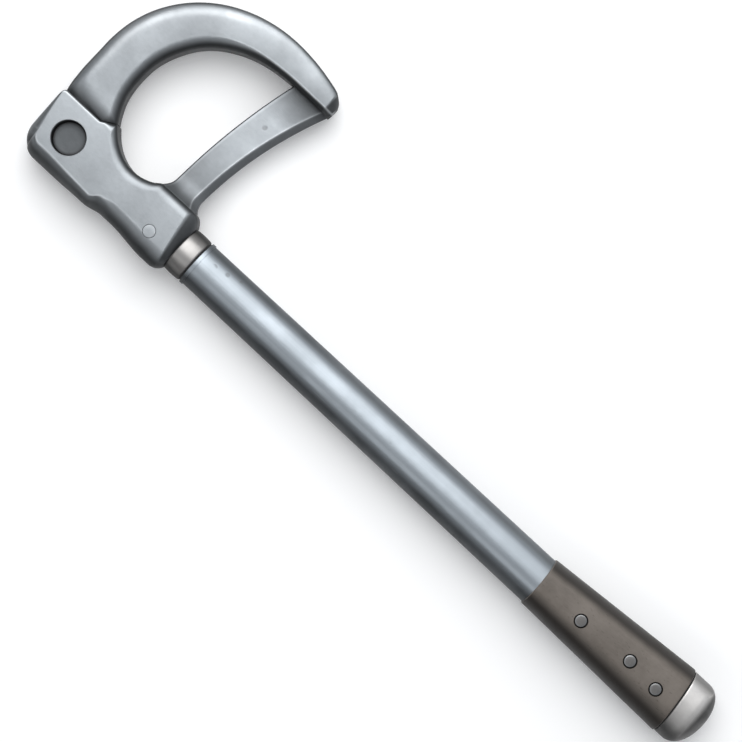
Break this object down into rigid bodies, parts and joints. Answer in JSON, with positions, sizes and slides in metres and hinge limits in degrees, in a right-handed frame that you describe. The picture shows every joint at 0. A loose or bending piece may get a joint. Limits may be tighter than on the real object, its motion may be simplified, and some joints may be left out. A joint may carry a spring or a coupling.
{
  "type": "hand scythe",
  "caption": "Steel hand scythe with a cutting bar, a hinged bow that closes a D-shaped loop over it, a tube shaft and a riveted grip with a domed end cap.",
  "frame": {"origin": "on the shaft's centre line, projected on to the plane that the back of the head lies in, which is the surface the tool rests on", "axes": "+X along the shaft from the head to the grip, +Y from the shaft to the side the loop is on, +Z out of the head's front face"},
  "size_m": [0.5122, 0.1501, 0.0311],
  "materials": {
    "forged_steel": "satin forged, light blue-grey",
    "bow_steel": "satin forged, light blue-grey",
    "blade_steel": "satin, darker ground bevel",
    "tube_steel": "satin drawn tube, blue-grey",
    "polished_steel": "polished, slightly warm",
    "pin_steel": "dull, darkened",
    "rivet_steel": "worn satin",
    "washer_brass": "plain",
    "black_fibre": "matt fibre",
    "grip_wood": "dark stained, waxed"
  },
  "bodies": {
    "root": {"head": "forged_steel", "pivot_pin": "pin_steel", "friction_washer_front": "washer_brass", "friction_washer_back": "washer_brass", "blade": "blade_steel", "blade_pin": "pin_steel", "ferrule": "polished_steel", "seal_washer": "black_fibre", "shaft_tube": "tube_steel", "grip_tang": "tube_steel", "grip_scale_front": "grip_wood", "grip_scale_back": "grip_wood", "rivet_post_1": "rivet_steel", "rivet_post_2": "rivet_steel", "rivet_post_3": "rivet_steel", "rivet_cap_1": "rivet_steel", "rivet_cap_2": "rivet_steel", "rivet_cap_3": "rivet_steel", "cap_washer": "black_fibre", "end_cap": "polished_steel"},
    "bow": {"bow": "bow_steel"}
  },
  "joints": [
    {"name": "bow_pivot", "type": "hinge", "parent": "root", "child": "bow", "pos_m": [-0.0392, 0.0027, 0.0155], "axis": [0, 0, 1], "range_deg": [0, 16]}
  ]
}
